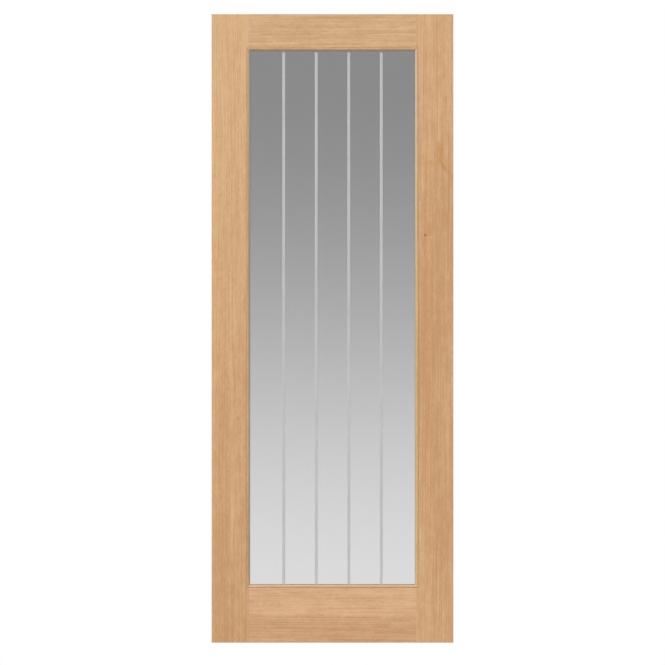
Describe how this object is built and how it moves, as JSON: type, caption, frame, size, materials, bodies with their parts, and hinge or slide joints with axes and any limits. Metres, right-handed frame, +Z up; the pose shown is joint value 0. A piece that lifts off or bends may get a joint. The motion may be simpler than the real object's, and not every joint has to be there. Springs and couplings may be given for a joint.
{
  "type": "glazed interior door leaf",
  "caption": "Oak veneered interior door leaf with stiles and rails round one tall pane of glass with vertical etched lines, held by slim mitred beads; hung on hinges in a frame.",
  "frame": {"origin": "on the hinge edge of the left stile, at the foot of the leaf, half-way through its thickness", "axes": "+X across the leaf from the hinge edge to the lock edge, +Y from the front face to the back face, +Z up"},
  "size_m": [0.762, 0.035, 1.981],
  "materials": {
    "oak_veneer": "satin oak veneer",
    "oak_lipping": "satin solid oak",
    "oak_bead": "satin solid oak moulding",
    "softwood_core": "sawn softwood blocks",
    "clear_glass": "clear polished",
    "etched_glass": "frosted etch",
    "glazing_tape": "matt foam tape",
    "bead_pin": "dull steel"
  },
  "bodies": {
    "root": {"left_stile_core": "softwood_core", "left_stile_outer_lipping": "oak_lipping", "left_stile_inner_lipping": "oak_lipping", "left_stile_front_veneer": "oak_veneer", "left_stile_back_veneer": "oak_veneer", "right_stile_core": "softwood_core", "right_stile_outer_lipping": "oak_lipping", "right_stile_inner_lipping": "oak_lipping", "right_stile_front_veneer": "oak_veneer", "right_stile_back_veneer": "oak_veneer", "top_rail_core": "softwood_core", "top_rail_outer_lipping": "oak_lipping", "top_rail_inner_lipping": "oak_lipping", "top_rail_front_veneer": "oak_veneer", "top_rail_back_veneer": "oak_veneer", "bottom_rail_core": "softwood_core", "bottom_rail_outer_lipping": "oak_lipping", "bottom_rail_inner_lipping": "oak_lipping", "bottom_rail_front_veneer": "oak_veneer", "bottom_rail_back_veneer": "oak_veneer", "glass_pane": "clear_glass", "front_left_bead": "oak_bead", "front_left_tape": "glazing_tape", "front_right_bead": "oak_bead", "front_right_tape": "glazing_tape", "front_top_bead": "oak_bead", "front_top_tape": "glazing_tape", "front_bottom_bead": "oak_bead", "front_bottom_tape": "glazing_tape", "back_left_bead": "oak_bead", "back_left_tape": "glazing_tape", "back_right_bead": "oak_bead", "back_right_tape": "glazing_tape", "back_top_bead": "oak_bead", "back_top_tape": "glazing_tape", "back_bottom_bead": "oak_bead", "back_bottom_tape": "glazing_tape"}
  },
  "joints": []
}
